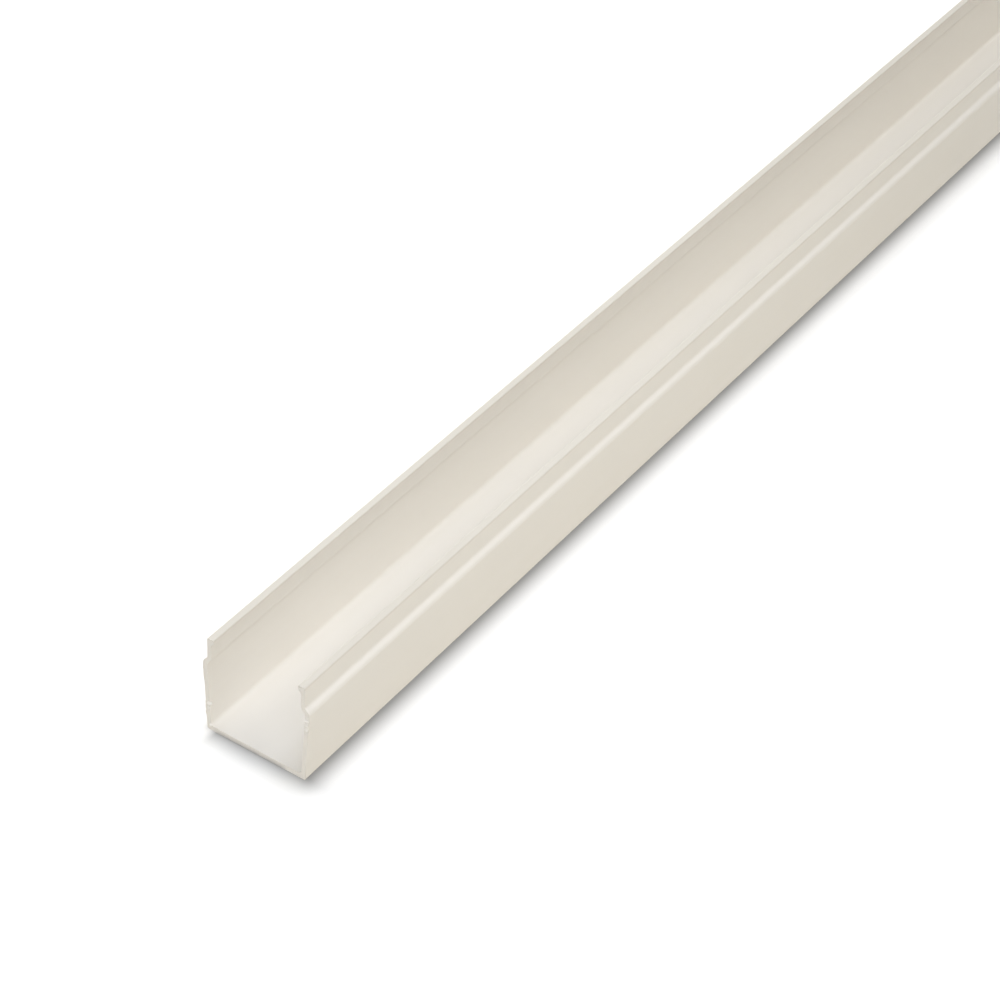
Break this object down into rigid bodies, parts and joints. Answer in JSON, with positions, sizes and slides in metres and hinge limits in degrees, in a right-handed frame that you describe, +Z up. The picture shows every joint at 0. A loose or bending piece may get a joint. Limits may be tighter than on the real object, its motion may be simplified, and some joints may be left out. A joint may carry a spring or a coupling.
{
  "type": "cord cover raceway",
  "caption": "Straight U-shaped raceway base in off-white PVC, open along its top, with flared walls, rolled shoulders and recessed beaded necks that take a clip-on cover.",
  "frame": {"origin": "underside of the floor, at the middle of the length and of the width", "axes": "+X along the length, +Y across the channel, +Z up towards the open side"},
  "size_m": [1, 0.0428, 0.04],
  "materials": {
    "pvc": "off-white rigid PVC, smooth satin as extruded, sawn ends left rough"
  },
  "bodies": {
    "root": {"raceway_channel": "pvc"}
  },
  "joints": []
}
